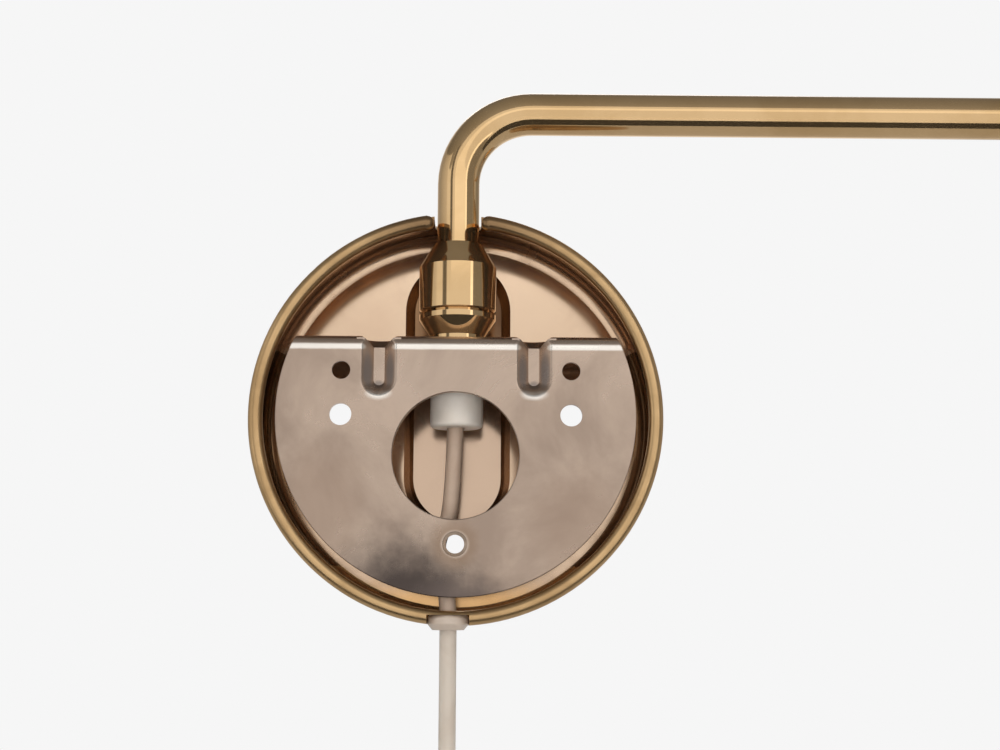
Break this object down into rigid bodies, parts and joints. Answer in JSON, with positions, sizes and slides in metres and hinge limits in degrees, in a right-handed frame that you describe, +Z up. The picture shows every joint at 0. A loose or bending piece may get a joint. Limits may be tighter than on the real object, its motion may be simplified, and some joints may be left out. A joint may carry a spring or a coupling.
{
  "type": "articulated wall lamp",
  "caption": "Brass wall lamp: round cup with steel mounting plate, bent tube arms on swivels, tilting bell shade, corded with in-line switch and plug.",
  "frame": {"origin": "middle of the two wall screws, on the wall plane", "axes": "+Z up, +Y into the wall, the lower arm lies along -X at rest"},
  "size_m": [0.4524, 0.3194, 0.4786],
  "materials": {
    "polished_brass": "polished",
    "plated_steel": "zinc plated",
    "nickel": "nickel plated",
    "white_plastic": "moulded",
    "white_flex": "satin",
    "nylon": "matte",
    "opal_glass": "frosted"
  },
  "bodies": {
    "wall_rose": {"wall_cup": "polished_brass", "mounting_plate": "plated_steel", "swivel_seat": "polished_brass", "swivel_collar": "polished_brass", "pivot_washer_low": "nylon", "pivot_washer_high": "nylon", "seat_lock_washer": "plated_steel", "seat_lock_nut": "plated_steel", "cord_grip": "white_plastic", "cord_grip_screw": "plated_steel", "cup_cord": "white_flex", "exit_grommet": "white_plastic", "drop_cord": "white_flex", "switch_base": "white_plastic", "switch_cover": "white_plastic", "switch_screws": "plated_steel", "lead_cord": "white_flex", "cord_coil": "white_flex", "coil_tie": "white_plastic", "tail_cord": "white_flex", "plug_body": "white_plastic", "plug_pins": "nickel"},
    "lower_arm": {"lower_arm_tube": "polished_brass", "pivot_sleeve": "polished_brass", "pivot_bush": "nylon", "lower_arm_cord": "white_flex", "elbow_seat": "polished_brass", "elbow_plug": "polished_brass", "elbow_collar": "polished_brass", "elbow_washer_low": "nylon", "elbow_washer_high": "nylon"},
    "upper_arm": {"upper_arm_tube": "polished_brass", "elbow_sleeve": "polished_brass", "elbow_bush": "nylon", "upper_arm_cord": "white_flex", "knuckle_upper": "polished_brass", "knuckle_washer": "nylon", "knuckle_screw": "polished_brass", "knuckle_nut": "polished_brass"},
    "lamp_head": {"knuckle_lower": "polished_brass", "head_cord": "white_flex", "holder_cover": "polished_brass", "lampholder_cap": "white_plastic", "lampholder_body": "white_plastic", "screw_shell": "polished_brass", "centre_contact": "polished_brass", "shade_ring": "white_plastic", "shade": "polished_brass", "bulb_cap": "nickel", "bulb_glass": "opal_glass"},
    "switch_key": {"switch_rocker": "white_plastic"}
  },
  "joints": [
    {"name": "arm_swing", "type": "hinge", "parent": "wall_rose", "child": "lower_arm", "pos_m": [0, -0.0135, 0.04], "axis": [0, 0, 1], "range_deg": [0, 180]},
    {"name": "elbow_swing", "type": "hinge", "parent": "lower_arm", "child": "upper_arm", "pos_m": [-0.33, -0.0135, 0.11], "axis": [0, 0, 1], "range_deg": [-220, 40]},
    {"name": "shade_tilt", "type": "hinge", "parent": "upper_arm", "child": "lamp_head", "pos_m": [-0.33, -0.2535, 0.1017], "axis": [1, 0, 0], "range_deg": [-50, 50]},
    {"name": "switch_tip", "type": "hinge", "parent": "wall_rose", "child": "switch_key", "pos_m": [0.0017, -0.0125, -0.128], "axis": [1, 0, 0], "range_deg": [-16, 0]}
  ]
}
